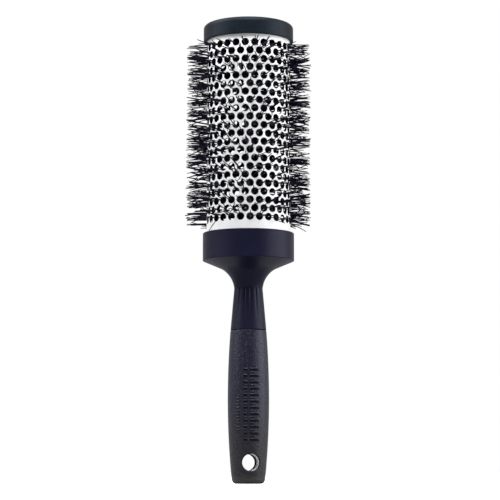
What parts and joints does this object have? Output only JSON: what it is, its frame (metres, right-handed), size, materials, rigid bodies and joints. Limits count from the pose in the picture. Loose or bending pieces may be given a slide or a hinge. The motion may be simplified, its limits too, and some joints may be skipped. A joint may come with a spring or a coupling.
{
  "type": "round barrel hair brush",
  "caption": "Round thermal hair brush: perforated white ceramic-coated barrel with black nylon bristles, flared dark collar, end cap and slim soft-touch handle with a hanging hole.",
  "frame": {"origin": "centre of the handle's flat end, which is the bottom of the brush", "axes": "+Z along the brush from the handle to the end cap; Y is the hanging hole's axis and -Y the side with the tactile ribs"},
  "size_m": [0.063, 0.063, 0.236],
  "materials": {
    "handle_plastic": "satin",
    "soft_grip": "soft-touch, fine pebble",
    "collar_plastic": "satin",
    "ceramic_coat": "matte ceramic coating",
    "cap_plastic": "satin",
    "inner_plastic": "matte",
    "core_steel": "drawn wire",
    "bristle_nylon": "satin filament"
  },
  "bodies": {
    "root": {"handle_core": "handle_plastic", "grip_sleeve": "soft_grip", "barrel_collar": "collar_plastic", "barrel": "ceramic_coat", "end_cap": "cap_plastic", "barrel_base_plug": "inner_plastic", "core_wire_a": "core_steel", "core_wire_b": "core_steel", "bristle_row_01": "bristle_nylon", "bristle_row_02": "bristle_nylon", "bristle_row_03": "bristle_nylon", "bristle_row_04": "bristle_nylon", "bristle_row_05": "bristle_nylon", "bristle_row_06": "bristle_nylon", "bristle_row_07": "bristle_nylon", "bristle_row_08": "bristle_nylon", "bristle_row_09": "bristle_nylon", "bristle_row_10": "bristle_nylon", "bristle_row_11": "bristle_nylon", "bristle_row_12": "bristle_nylon", "bristle_row_13": "bristle_nylon", "bristle_row_14": "bristle_nylon", "bristle_row_15": "bristle_nylon", "bristle_row_16": "bristle_nylon", "bristle_row_17": "bristle_nylon", "bristle_row_18": "bristle_nylon", "bristle_row_19": "bristle_nylon", "bristle_row_20": "bristle_nylon", "bristle_row_21": "bristle_nylon", "bristle_row_22": "bristle_nylon"}
  },
  "joints": []
}
